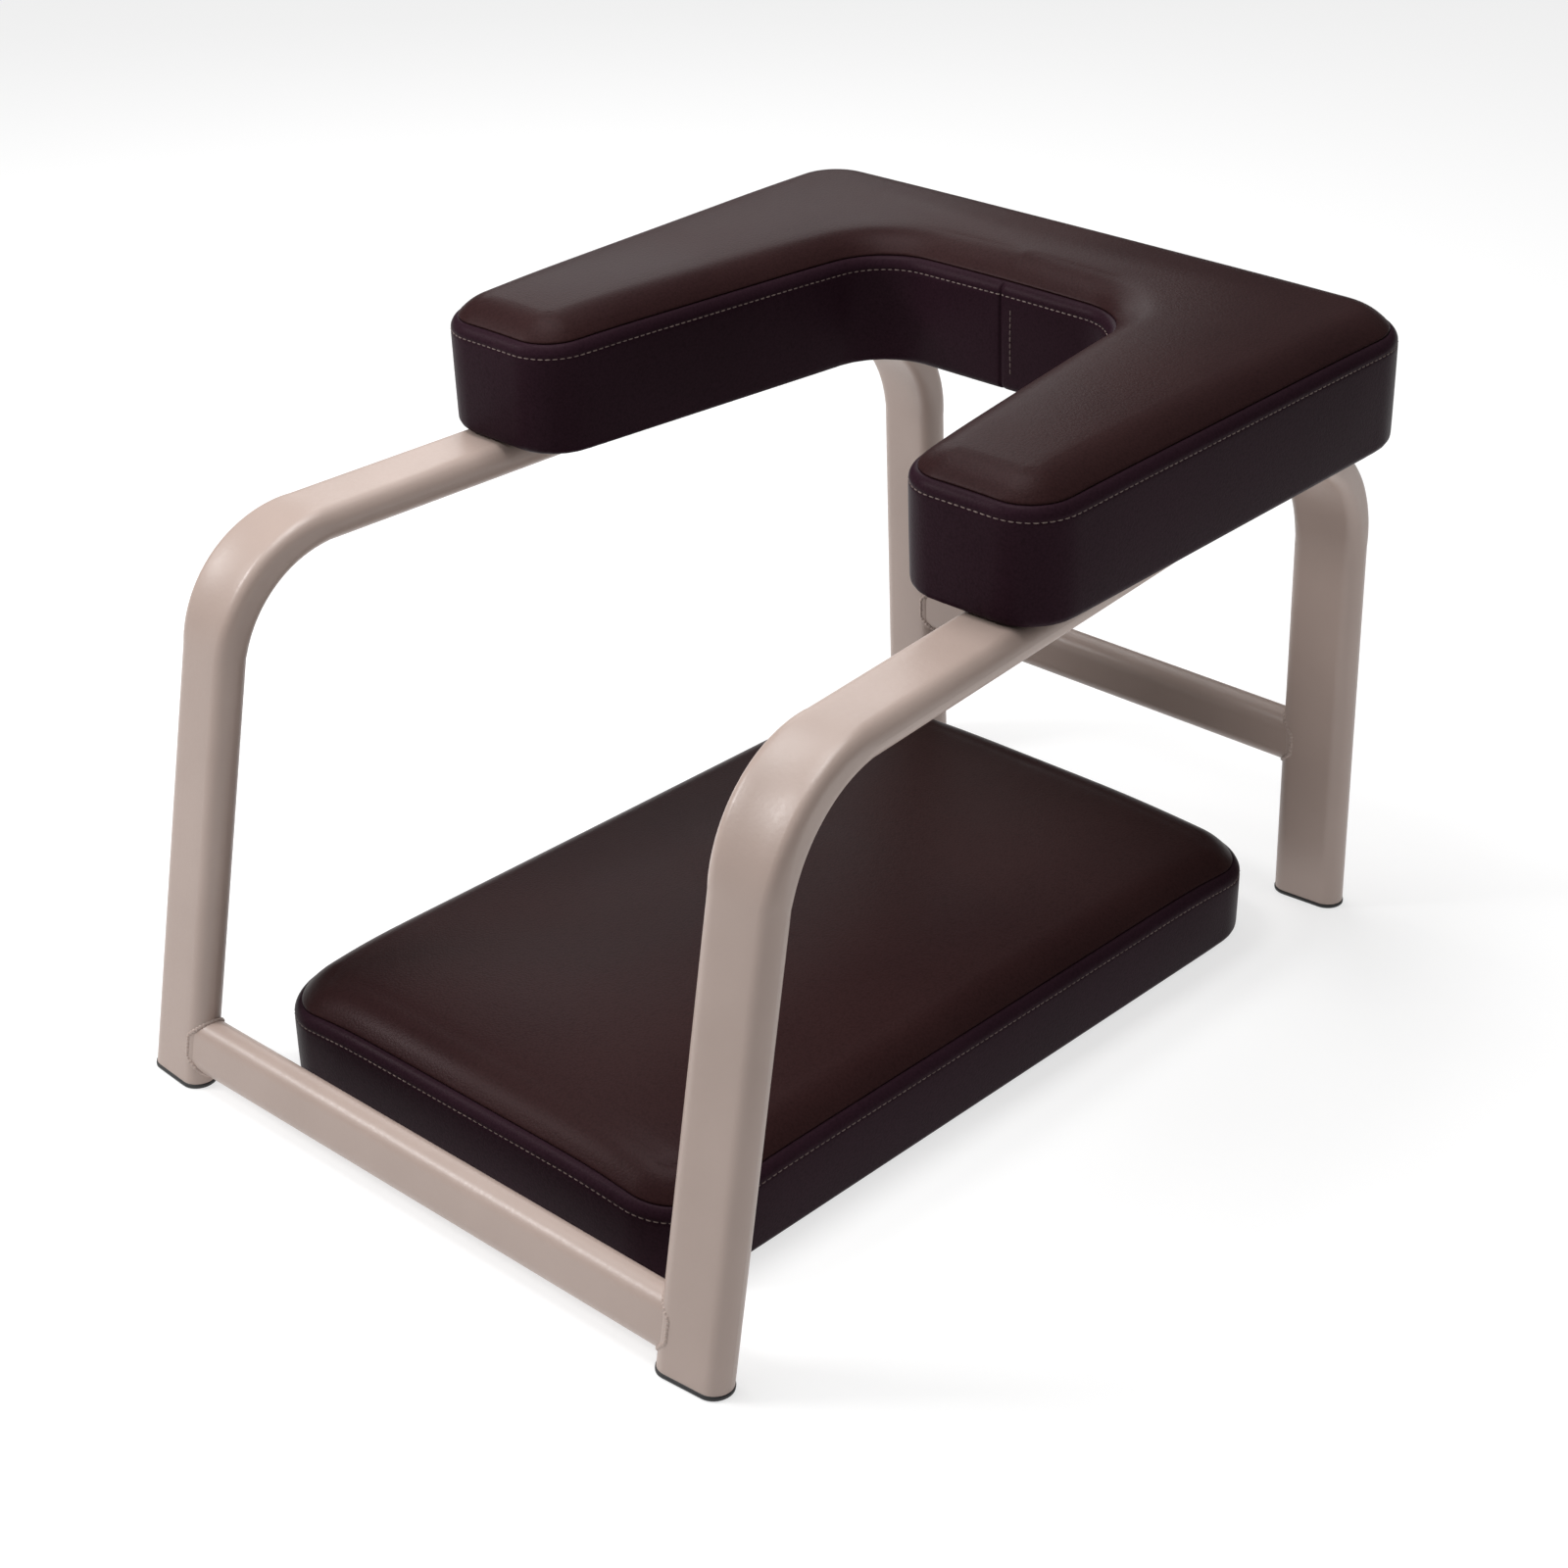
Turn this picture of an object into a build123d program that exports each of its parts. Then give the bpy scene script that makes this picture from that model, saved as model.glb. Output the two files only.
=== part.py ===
from build123d import *
from math import atan, cos, degrees, radians, sin, sqrt
import os

# Low padded bench: two bent side frames joined by two crossbars, a U-shaped cushion bolted on
# the rails, and a loose kneeling pad on the floor. Millimetres, +Z up, +Y towards the closed
# back of the U, floor at Z 0. Every piece is written to parts/ under its own name.

os.makedirs("parts", exist_ok=True)

# Frame tube: flat-oval steel, bent the easy way
TUBE_WIDTH = 45.0
TUBE_THICK = 20.0
TUBE_WALL = 1.5

# Side frame, drawn in its own upright plane: u runs back from the front foot, v is height
TOE_IN = 4.17                     # degrees that each side frame turns inwards towards the back
FRONT_HALF_SPACING = 204.4        # centre line to frame centre at the front foot
FOOT_SPAN = 596.9                 # front foot to rear foot along the side frame
FRONT_LEAN = 0.1941               # front leg leans back, per unit of height
REAR_LEAN = -0.0318               # rear leg leans forward, per unit of height
FRONT_CORNER = 308.8              # height where front leg and rail centre lines meet
REAR_CORNER = 322.0               # height where rear leg and rail centre lines meet
FRONT_BEND = 71.8
REAR_BEND = 77.5

# Crossbars: same kind of tube, on edge between the legs
FRONT_BAR_Z = 23.8
REAR_BAR_Z = 107.9
BAR_HEIGHT = 33.4
WELD = 2.0

# Foot plugs
FLANGE = 3.0
FLANGE_LIP = 0.5
PLUG_DEPTH = 22.0
RIB_HEIGHTS = (6.0, 13.0, 20.0)

# U cushion, in its own plane on top of the rails: x across, y back, z away from the rails
CUSHION_HALF_WIDTH = 222.5
CUSHION_FRONT = -64.0
CUSHION_BACK = 277.5
THROAT_BACK = 177.0
THROAT_HALF_BACK = 90.0
THROAT_HALF_FRONT = 125.0
PRONG_RADIUS = 31.0
THROAT_RADIUS = 36.0
BACK_RADIUS = 42.0
CUSHION_SEAM = 70.0
CUSHION_TOP = 80.0
CUSHION_BOARD = 12.0

# Kneeling pad on the floor
PAD_CENTRE_X = -7.0
PAD_CENTRE_Y = -5.0
PAD_WIDTH = 331.0
PAD_LENGTH = 514.0
PAD_RADIUS = 40.0
PAD_SEAM = 47.0
PAD_TOP = 66.0
PAD_BOARD = 9.0

# Upholstery common to both pads
COVER = 1.2                       # leather cloth
BOARD_INSET = 5.5                 # the foam laps round the board's edge by 4.3
UNDER_CLOTH = 0.8
SEAT_GAP = 0.1                    # cushion above the rail's top face, washers below its lower face
CLOTH_INSET = 14.0                # edge of the under-cloth inside the outline
HEM = 24.0                        # width of the boxing turned in under the board
STAPLE_INSET = 19.0
STAPLE_PITCH = 58.0
STAPLE_CROWN = 10.0
STAPLE_LEG = 7.0
STAPLE_WIRE = 0.7

# Screws that hold the cushion: M8 button heads up through the rail into tee nuts
BOLT_Y = (25.0, 195.0)            # both clear of the bends
BOLT_RADIUS = 3.95
BOLT_HEAD_RADIUS = 7.0
BOLT_HEAD = 4.4
BOLT_REACH = 10.5                 # shank above the rail's top face
SOCKET_ACROSS = 5.0
SOCKET_DEPTH = 2.6
RAIL_HOLE_RADIUS = 4.5
WASHER_RADIUS = 9.0
WASHER = 1.6
TEE_FLANGE_RADIUS = 11.0
TEE_FLANGE = 1.6
TEE_BARREL_RADIUS = 5.0
TEE_BARREL = 9.5

BIG = 900.0


def frame_plane(side):
    """Upright plane of one side frame; side is +1 right, -1 left."""
    turn = radians(TOE_IN) * side
    return Plane(
        origin=(side * FRONT_HALF_SPACING, FRONT_FOOT_Y, 0),
        x_dir=(-sin(turn), cos(turn), 0),
        z_dir=(cos(turn), sin(turn), 0),
    )


def slab(z_low, z_high):
    """Everything between two heights."""
    return Pos(0, 0, (z_low + z_high) / 2) * Box(2 * BIG, 2 * BIG, z_high - z_low)


# The footprint is centred on the origin: front and rear feet reach equally far from it
half_thick_front = (TUBE_THICK / 2 + FLANGE_LIP) * sqrt(1 + FRONT_LEAN**2)
half_thick_rear = (TUBE_THICK / 2 + FLANGE_LIP) * sqrt(1 + REAR_LEAN**2)
FRONT_FOOT_Y = (half_thick_front - half_thick_rear - FOOT_SPAN * cos(radians(TOE_IN))) / 2


def side_path(side):
    """Centre line of a side frame, from below the front foot to below the rear foot."""
    below = -30.0
    corners = [
        (below * FRONT_LEAN, below),
        (FRONT_CORNER * FRONT_LEAN, FRONT_CORNER),
        (FOOT_SPAN + REAR_CORNER * REAR_LEAN, REAR_CORNER),
        (FOOT_SPAN + below * REAR_LEAN, below),
    ]
    return frame_plane(side) * FilletPolyline(*corners, radius=[FRONT_BEND, REAR_BEND])


def side_sweep(side, width, thick):
    """Flat-oval section carried along a side frame's centre line."""
    path = side_path(side)
    start = Plane(origin=path @ 0, x_dir=frame_plane(side).z_dir, z_dir=path % 0)
    return sweep(start * SlotOverall(width, thick), path=path)


def leg_prism(side, rear, grow, z_low, z_high, width=TUBE_WIDTH, thick=TUBE_THICK):
    """Straight length of leg section, grown all round and cut level at two heights."""
    lean = REAR_LEAN if rear else FRONT_LEAN
    foot = FOOT_SPAN if rear else 0.0
    plane = frame_plane(side)
    below = -40.0
    start = plane.from_local_coords(Vector(foot + below * lean, below, 0))
    above = plane.from_local_coords(Vector(foot, 0, 0))
    section = Plane(origin=start, x_dir=plane.z_dir, z_dir=above - start)
    rod = extrude(section * SlotOverall(width + 2 * grow, thick + 2 * grow), 260)
    return rod & slab(z_low, z_high)


def rail_slope():
    """Rise of the rail per millimetre of Y."""
    run = FOOT_SPAN + REAR_CORNER * REAR_LEAN - FRONT_CORNER * FRONT_LEAN
    return (REAR_CORNER - FRONT_CORNER) / (run * cos(radians(TOE_IN)))


def rail_top(y):
    """Height of the rail's top face over a given Y."""
    corner_y = FRONT_FOOT_Y + FRONT_CORNER * FRONT_LEAN * cos(radians(TOE_IN))
    return FRONT_CORNER + rail_slope() * (y - corner_y) + TUBE_THICK / 2 * sqrt(1 + rail_slope()**2)


def rail_x(side, y):
    """X of the rail's centre line over a given Y."""
    return side * (FRONT_HALF_SPACING - (y - FRONT_FOOT_Y) * sin(radians(TOE_IN)) / cos(radians(TOE_IN)))


def seat_plane():
    """Plane of the rails' top faces, with its origin over the bench's centre line."""
    tilt = atan(rail_slope())
    return Plane(origin=(0, 0, rail_top(0) + SEAT_GAP), x_dir=(1, 0, 0), z_dir=(0, -sin(tilt), cos(tilt)))


def bolt_planes():
    """One plane per screw, square to the rail, with its origin on the rail's top face."""
    normal = seat_plane().z_dir
    return [
        Plane(origin=(rail_x(side, y), y, rail_top(y)), x_dir=(1, 0, 0), z_dir=normal)
        for side in (-1, 1)
        for y in BOLT_Y
    ]


def bore(radius, low, high):
    """Round bar about every screw's axis, between two heights over the rail's top face."""
    rods = [
        plane * Pos(0, 0, (low + high) / 2) * Cylinder(radius, high - low)
        for plane in bolt_planes()
    ]
    return rods


def cut_all(solid, tools):
    for tool in tools:
        solid = solid - tool
    return solid


# Frame -----------------------------------------------------------------------------------


def side_frame(side):
    tube = side_sweep(side, TUBE_WIDTH, TUBE_THICK)
    tube -= side_sweep(side, TUBE_WIDTH - 2 * TUBE_WALL, TUBE_THICK - 2 * TUBE_WALL)
    tube -= slab(-100, FLANGE)
    return cut_all(tube, bore(RAIL_HOLE_RADIUS, -TUBE_THICK - 5, 5))


def bar_blank(rear, grow, half_length):
    """Solid crossbar section, grown all round, with square ends."""
    z = REAR_BAR_Z if rear else FRONT_BAR_Z
    lean = REAR_LEAN if rear else FRONT_LEAN
    foot = FOOT_SPAN if rear else 0.0
    y = FRONT_FOOT_Y + (foot + lean * z) * cos(radians(TOE_IN))
    section = Plane(origin=(0, y, z), x_dir=(0, lean, 1), z_dir=(1, 0, 0))
    profile = section * SlotOverall(BAR_HEIGHT + 2 * grow, TUBE_THICK + 2 * grow)
    return extrude(profile, half_length, both=True)


def legs(rear, grow=0.0):
    return [leg_prism(side, rear, grow, FLANGE, 200) for side in (-1, 1)]


def bar_reach(rear):
    """Half length of a crossbar, to where its flat faces run onto the leg's flat faces."""
    foot = FOOT_SPAN if rear else 0.0
    leg_x = FRONT_HALF_SPACING - foot * sin(radians(TOE_IN))
    return leg_x - TUBE_WIDTH / 2 + TUBE_THICK / 2


def crossbar(rear):
    bar = bar_blank(rear, 0, bar_reach(rear))
    bar = cut_all(bar - bar_blank(rear, -TUBE_WALL, BIG), legs(rear))
    return max(bar.solids(), key=lambda piece: piece.volume)


def weld_beads(rear):
    """The metal within one weld size of both the crossbar and the leg, outside both."""
    ring = bar_blank(rear, WELD, bar_reach(rear) + WELD / 2) - bar_blank(rear, 0, BIG)
    beads = []
    for leg, grown in zip(legs(rear), legs(rear, WELD)):
        bead = (ring & grown) - leg
        beads.append(max(bead.solids(), key=lambda piece: piece.volume))
    return beads


def foot_plug(side, rear):
    flange = leg_prism(side, rear, FLANGE_LIP, 0, FLANGE)
    wall_gap = -TUBE_WALL - 0.05
    core = leg_prism(side, rear, wall_gap - 3.0, FLANGE, FLANGE + PLUG_DEPTH)
    plug = flange + core
    for height in RIB_HEIGHTS:
        plug += leg_prism(side, rear, wall_gap, height, height + 2.0)
    return plug


# Upholstery ------------------------------------------------------------------------------


def cushion_outline():
    """U-shaped outline, mirrored about the centre line, with its corners rounded."""
    right = [
        (THROAT_HALF_BACK, THROAT_BACK),
        (THROAT_HALF_FRONT, CUSHION_FRONT),
        (CUSHION_HALF_WIDTH, CUSHION_FRONT),
        (CUSHION_HALF_WIDTH, CUSHION_BACK),
    ]
    left = [(-x, y) for x, y in reversed(right)]
    face = make_face(Polyline(*right, *left, close=True))
    inner = face.vertices().filter_by(lambda v: abs(v.Y - THROAT_BACK) < 1)
    face = fillet(inner, THROAT_RADIUS)
    front = face.vertices().filter_by(lambda v: abs(v.Y - CUSHION_FRONT) < 1)
    face = fillet(front, PRONG_RADIUS)
    back = face.vertices().filter_by(lambda v: abs(v.Y - CUSHION_BACK) < 1)
    return fillet(back, BACK_RADIUS)


def pad_outline():
    return RectangleRounded(PAD_WIDTH, PAD_LENGTH, PAD_RADIUS)


def layer(outline, inset, low, high):
    """Flat layer of an outline moved inwards, between two heights."""
    face = offset(outline, -inset) if inset else outline
    return Pos(0, 0, low) * extrude(face, high - low)


def crowned(outline, inset, low, high, edge):
    """The same layer with its top edge rounded over."""
    block = layer(outline, inset, low, high)
    top = block.faces().sort_by(Axis.Z)[-1]
    return fillet(top.edges(), edge)


def staple(place):
    """Wire staple driven up from below: its crown is level with the under-cloth."""
    crown = Pos(0, 0, STAPLE_WIRE / 2) * Box(STAPLE_CROWN, STAPLE_WIRE, STAPLE_WIRE)
    leg = Box(STAPLE_WIRE, STAPLE_WIRE, STAPLE_LEG)
    reach = (STAPLE_CROWN - STAPLE_WIRE) / 2
    for x in (-reach, reach):
        crown += Pos(x, 0, STAPLE_LEG / 2) * leg
    return place * crown


def staples(outline, blocked):
    """Staples evenly round an outline, left out where something lies against the cloth."""
    wire = offset(outline, -STAPLE_INSET).wire()
    count = round(wire.length / STAPLE_PITCH)
    pieces = []
    for index in range(count):
        at = (index + 0.5) / count
        point = wire @ at
        if blocked(point):
            continue
        pieces.append(staple(Plane(origin=point, x_dir=wire % at, z_dir=(0, 0, 1))))
    return pieces


def upholstery(outline, seam, top, board):
    """Under-cloth, board, foam, boxing and top panel of one pad, stacked from its underside."""
    board_low = UNDER_CLOTH + COVER
    board_high = board_low + board
    edge = 0.82 * (top - seam)
    cloth = layer(outline, CLOTH_INSET, 0, UNDER_CLOTH)
    base = layer(outline, BOARD_INSET, board_low, board_high)
    foam = crowned(outline, COVER, board_low, top - COVER, edge) - base
    panel = crowned(outline, 0, seam, top, edge + COVER) - foam
    hem = layer(outline, 0, UNDER_CLOTH, board_low) - layer(outline, HEM, UNDER_CLOTH, board_low)
    band = layer(outline, 0, board_low, seam) - layer(outline, COVER, board_low, seam)
    return {
        "under_cloth": cloth,
        "board": base,
        "foam": foam,
        "top_panel": panel,
        "boxing": band + hem,
    }


def cushion_pieces():
    seat = seat_plane()
    pieces = upholstery(cushion_outline(), CUSHION_SEAM, CUSHION_TOP, CUSHION_BOARD)
    placed = {name: seat * piece for name, piece in pieces.items()}
    placed["under_cloth"] = cut_all(placed["under_cloth"], bore(RAIL_HOLE_RADIUS, -3, 3))
    board_top = UNDER_CLOTH + COVER + CUSHION_BOARD + SEAT_GAP
    placed["board"] = cut_all(placed["board"], bore(TEE_BARREL_RADIUS, -3, board_top + 3))
    placed["board"] = cut_all(placed["board"], bore(TEE_FLANGE_RADIUS, board_top - TEE_FLANGE, board_top + 3))

    def on_rail(point):
        return min(abs(point.X - rail_x(side, point.Y)) for side in (-1, 1)) < TUBE_WIDTH / 2 + 3

    wires = staples(cushion_outline(), on_rail)
    placed["staples"] = Compound([seat * wire for wire in wires])
    return placed


def kneeling_pad_pieces():
    place = Pos(PAD_CENTRE_X, PAD_CENTRE_Y, 0)
    pieces = upholstery(pad_outline(), PAD_SEAM, PAD_TOP, PAD_BOARD)
    pieces["staples"] = Compound(staples(pad_outline(), lambda point: False))
    return {name: place * piece for name, piece in pieces.items()}


# Screws ----------------------------------------------------------------------------------


def bolt(plane):
    under = -TUBE_THICK - SEAT_GAP - WASHER
    head = Cylinder(BOLT_HEAD_RADIUS, BOLT_HEAD)
    head = fillet(head.edges().sort_by(Axis.Z)[0], BOLT_HEAD * 0.6)
    head = Pos(0, 0, under - BOLT_HEAD / 2) * head
    socket = extrude(RegularPolygon(SOCKET_ACROSS / 2, 6, major_radius=False), SOCKET_DEPTH)
    head -= Pos(0, 0, under - BOLT_HEAD) * socket
    shank = Pos(0, 0, (under + BOLT_REACH) / 2) * Cylinder(BOLT_RADIUS, BOLT_REACH - under)
    return plane * (head + shank)


def washer(plane):
    ring = Cylinder(WASHER_RADIUS, WASHER) - Cylinder(RAIL_HOLE_RADIUS, WASHER)
    return plane * Pos(0, 0, -TUBE_THICK - SEAT_GAP - WASHER / 2) * ring


def tee_nut(plane):
    board_top = UNDER_CLOTH + COVER + CUSHION_BOARD + SEAT_GAP
    flange = Pos(0, 0, board_top - TEE_FLANGE / 2) * Cylinder(TEE_FLANGE_RADIUS, TEE_FLANGE)
    barrel = Pos(0, 0, board_top - TEE_BARREL / 2) * Cylinder(TEE_BARREL_RADIUS, TEE_BARREL)
    thread = Pos(0, 0, board_top - TEE_BARREL / 2) * Cylinder(BOLT_RADIUS + 0.05, TEE_BARREL)
    return plane * (flange + barrel - thread)


def write(name, shape):
    export_step(shape, f"parts/{name}.step")


def write_frame():
    for side, word in ((-1, "left"), (1, "right")):
        write(f"{word}_side_frame", side_frame(side))
        write(f"front_{word}_foot_plug", foot_plug(side, False))
        write(f"rear_{word}_foot_plug", foot_plug(side, True))
    for rear, word in ((False, "front"), (True, "rear")):
        write(f"{word}_crossbar", crossbar(rear))
        write(f"{word}_crossbar_welds", Compound(weld_beads(rear)))


def write_pads():
    for name, piece in cushion_pieces().items():
        write(f"cushion_{name}", piece)
    for name, piece in kneeling_pad_pieces().items():
        write(f"kneeling_pad_{name}", piece)


def write_screws():
    write("cushion_bolts", Compound([bolt(plane) for plane in bolt_planes()]))
    write("cushion_washers", Compound([washer(plane) for plane in bolt_planes()]))
    write("cushion_tee_nuts", Compound([tee_nut(plane) for plane in bolt_planes()]))


write_frame()
write_pads()
write_screws()
print("rail rises", round(degrees(atan(rail_slope())), 2), "degrees; top at centre", round(rail_top(0), 1))
print("front foot y", round(FRONT_FOOT_Y, 1))
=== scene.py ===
import math

import bpy
import numpy as np
from mathutils import Matrix, Vector


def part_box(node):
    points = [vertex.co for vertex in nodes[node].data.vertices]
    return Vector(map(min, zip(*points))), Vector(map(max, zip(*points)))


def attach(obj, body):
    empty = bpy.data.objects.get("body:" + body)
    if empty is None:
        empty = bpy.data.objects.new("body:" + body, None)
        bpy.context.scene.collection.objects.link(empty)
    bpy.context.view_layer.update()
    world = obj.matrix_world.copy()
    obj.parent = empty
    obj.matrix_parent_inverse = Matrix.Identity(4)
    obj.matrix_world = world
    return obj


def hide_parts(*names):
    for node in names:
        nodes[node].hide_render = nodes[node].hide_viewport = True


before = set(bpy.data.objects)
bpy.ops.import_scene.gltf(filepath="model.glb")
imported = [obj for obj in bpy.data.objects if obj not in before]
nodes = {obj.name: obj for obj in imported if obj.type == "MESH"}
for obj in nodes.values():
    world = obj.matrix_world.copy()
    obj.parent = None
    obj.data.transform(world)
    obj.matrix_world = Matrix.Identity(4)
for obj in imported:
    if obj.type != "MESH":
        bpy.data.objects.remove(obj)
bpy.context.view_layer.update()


# Camera ----------------------------------------------------------------------------------
# A long lens looks down on the bench from its front right, so the open front of the cushion,
# the right rail and the loose pad all show.

CAMERA_PLACE = Vector((1.04497, -1.12121, 0.96408))
CAMERA_AZIMUTH = math.radians(43.257)
CAMERA_ELEVATION = math.radians(28.239)
CAMERA_ROLL = math.radians(-0.749)


def in_scene(name, data):
    """New object of some data, linked to the scene."""
    made = bpy.data.objects.new(name, data)
    bpy.context.scene.collection.objects.link(made)
    return made


camera_data = bpy.data.cameras.new("camera")
camera_data.sensor_width = 36.0
camera_data.lens = 69.417
camera = in_scene("camera", camera_data)
backward = Vector((
    math.sin(CAMERA_AZIMUTH) * math.cos(CAMERA_ELEVATION),
    -math.cos(CAMERA_AZIMUTH) * math.cos(CAMERA_ELEVATION),
    math.sin(CAMERA_ELEVATION),
))
facing = (-backward).to_track_quat("-Z", "Y").to_matrix().to_4x4()
camera.matrix_world = Matrix.Translation(CAMERA_PLACE) @ facing @ Matrix.Rotation(CAMERA_ROLL, 4, "Z")
bpy.context.scene.camera = camera


# Studio ----------------------------------------------------------------------------------
# A plain pale floor under one big soft light overhead, with two weaker soft lights on the
# left, one in front and one behind. The room is bright above and dim towards the horizon.


def soft_light(name, place, aim, size, watts):
    """Square area light at a place, turned to face a point."""
    data = bpy.data.lights.new(name, "AREA")
    data.size = size
    data.energy = watts
    light = in_scene(name, data)
    toward = (Vector(aim) - Vector(place)).to_track_quat("-Z", "Y")
    light.matrix_world = Matrix.Translation(place) @ toward.to_matrix().to_4x4()


def set_inputs(node, values):
    """Sets a node's inputs, by name."""
    for name, value in values.items():
        node.inputs[name].default_value = value


soft_light("overhead", (-0.35, -0.10, 1.9), (0.0, 0.0, 0.3), 1.0, 24.0)
soft_light("front_left", (-1.35, -1.20, 1.55), (0.0, -0.1, 0.2), 0.55, 23.0)
soft_light("back_left", (-1.25, 1.05, 1.25), (0.0, 0.0, 0.25), 1.0, 6.2)

world = bpy.data.worlds.new("studio")
world.use_nodes = True
bpy.context.scene.world = world
bpy.context.scene.view_settings.view_transform = "Standard"
room = world.node_tree
room.nodes.clear()
direction = room.nodes.new("ShaderNodeTexCoord")
upward = room.nodes.new("ShaderNodeSeparateXYZ")
brightness = room.nodes.new("ShaderNodeMapRange")
set_inputs(brightness, {"From Min": 0.10, "From Max": 0.90, "To Min": 0.04, "To Max": 0.55})
backdrop = room.nodes.new("ShaderNodeBackground")
room_out = room.nodes.new("ShaderNodeOutputWorld")
room.links.new(direction.outputs["Generated"], upward.inputs["Vector"])
room.links.new(upward.outputs["Z"], brightness.inputs["Value"])
room.links.new(brightness.outputs["Result"], backdrop.inputs["Strength"])
room.links.new(backdrop.outputs["Background"], room_out.inputs["Surface"])

FLOOR_REACH = 14.0
floor_mesh = bpy.data.meshes.new("floor")
floor_corners = [(x * FLOOR_REACH, y * FLOOR_REACH, 0.0) for x, y in ((-1, -1), (1, -1), (1, 1), (-1, 1))]
floor_mesh.from_pydata(floor_corners, [], [(0, 1, 2, 3)])
floor = in_scene("floor", floor_mesh)
floor_material = bpy.data.materials.new("pale floor")
floor_material.use_nodes = True
floor_shader = floor_material.node_tree.nodes["Principled BSDF"]
set_inputs(floor_shader, {"Base Color": (0.40, 0.40, 0.40, 1.0), "Roughness": 0.9, "Specular IOR Level": 0.1})
set_inputs(floor_shader, {"Emission Color": (1.0, 1.0, 1.0, 1.0), "Emission Strength": 0.68})
floor_mesh.materials.append(floor_material)


# Side frames -----------------------------------------------------------------------------
# Each side is one length of flat-oval steel tube, 45 x 20 x 1.5 mm, bent the easy way into
# front leg, rail and rear leg, and powder coated beige. Bending squares the tube's edges a
# little and lets its outer face sink.

TUBE_WIDTH = 0.045
TUBE_THICK = 0.020
TUBE_WALL = 0.0015
TOE_IN = math.radians(4.17)
FRONT_HALF_SPACING = 0.2044
FRONT_FOOT_Y = -0.29756
FOOT_SPAN = 0.5969
FRONT_LEAN = 0.1941
REAR_LEAN = -0.0318
RAIL_CORNERS = ((0.05994, 0.3088), (0.58666, 0.3220))
BEND_RADII = (0.0718, 0.0775)
PLUG_FLANGE = 0.003
ARC_STEPS = 10
BEND_SINK = 0.0009
BEND_SQUARING = 0.0036


def piece_from(name, points, faces, body, material):
    """Mesh object at the origin from an array of points and lists of faces, smooth shaded except over
    hard edges."""
    mesh = bpy.data.meshes.new(name)
    mesh.from_pydata(np.asarray(points, float).reshape(-1, 3).tolist(), [], [list(f) for f in faces])
    mesh.shade_smooth()
    mesh.set_sharp_from_angle(angle=math.radians(50))
    mesh.materials.append(material)
    made = in_scene(name, mesh)
    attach(made, body)
    return made


def grid_faces(ids, closed_rows=False, closed_columns=False):
    """Four-sided faces between neighbouring entries of a table of vertex numbers, wrapped round where
    asked."""
    rows = np.vstack([ids, ids[:1]]) if closed_rows else ids
    table = np.hstack([rows, rows[:, :1]]) if closed_columns else rows
    corners = (table[:-1, :-1], table[:-1, 1:], table[1:, 1:], table[1:, :-1])
    return np.stack(corners, axis=-1).reshape(-1, 4)


def facing_out(points, faces):
    """The same faces, reversed if the volume they close, summed as one pyramid per face from the
    origin, is negative."""
    corners = np.asarray(points).reshape(-1, 3)[np.asarray(faces)]
    halves = np.cross(corners[:, 1], corners[:, 2]) + np.cross(corners[:, 2], corners[:, 3])
    return faces if np.sum(corners[:, 0] * halves) > 0 else np.asarray(faces)[:, ::-1]


def tube_section(width, thick, radius, sink=0.0):
    """Rectangle with rounded corners, counter-clockwise: each corner is a quarter circle, and the two
    wide faces dip by a parabola of depth sink. Inputs may be columns, one row per section. Returns
    across and through."""
    given = (width, thick, radius, sink)
    width, thick, radius, sink = (np.atleast_1d(np.asarray(v, float))[:, None] for v in given)
    quarter = np.linspace(0.0, math.pi / 2, ARC_STEPS)[None, :]
    flat = np.array([0.6, 0.2, -0.2, -0.6])[None, :]
    half_w, half_t = width / 2 - radius, thick / 2 - radius
    across, through = [], []
    for turn, (sx, sy) in enumerate(((1, 1), (-1, 1), (-1, -1), (1, -1))):
        angle = quarter + turn * math.pi / 2
        across.append(sx * half_w + radius * np.cos(angle))
        through.append(sy * half_t + radius * np.sin(angle))
        if sy == sx:
            along = sx * flat
            across.append(half_w * along)
            through.append(sy * (thick / 2 - sink * (1 - along ** 2)))
    return np.hstack(across), np.hstack(through)


def bent_centre_line(start, corners, end, radii):
    """Straight runs joined by tangent arcs, in a plane. Each arc turns about a centre one radius off
    both runs. Returns points, unit directions, and how far into a bend each point is: 0 at its ends,
    1 in its middle."""
    knots = [np.array(p, float) for p in (start, *corners, end)]
    places, bends = [knots[0]], [0.0]
    ways = [(knots[1] - knots[0]) / np.linalg.norm(knots[1] - knots[0])]
    for before, corner, after, radius in zip(knots, knots[1:], knots[2:], radii):
        come = (corner - before) / np.linalg.norm(corner - before)
        leave = (after - corner) / np.linalg.norm(after - corner)
        turn = math.acos(float(np.clip(come @ leave, -1, 1)))
        side = np.array([-come[1], come[0]])
        side = side * math.copysign(1.0, float(side @ leave))
        first = corner - come * radius * math.tan(turn / 2)
        share = np.linspace(0.0, 1.0, 41)
        angle = share[:, None] * turn
        arc = first + radius * (np.sin(angle) * come + (1 - np.cos(angle)) * side)
        run = np.linspace(places[-1], first, 26)[1:-1]
        ways += [come] * len(run)
        places += [*run, *arc]
        bends += [0.0] * len(run) + list(np.sin(math.pi * share) ** 0.7)
        ways += list(np.cos(angle) * come + np.sin(angle) * side)
    run = np.linspace(places[-1], knots[-1], 26)[1:]
    last = (knots[-1] - knots[-2]) / np.linalg.norm(knots[-1] - knots[-2])
    places += list(run)
    bends += [0.0] * len(run)
    ways += [last] * len(run)
    return np.array(places), np.array(ways), np.array(bends)


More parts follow.
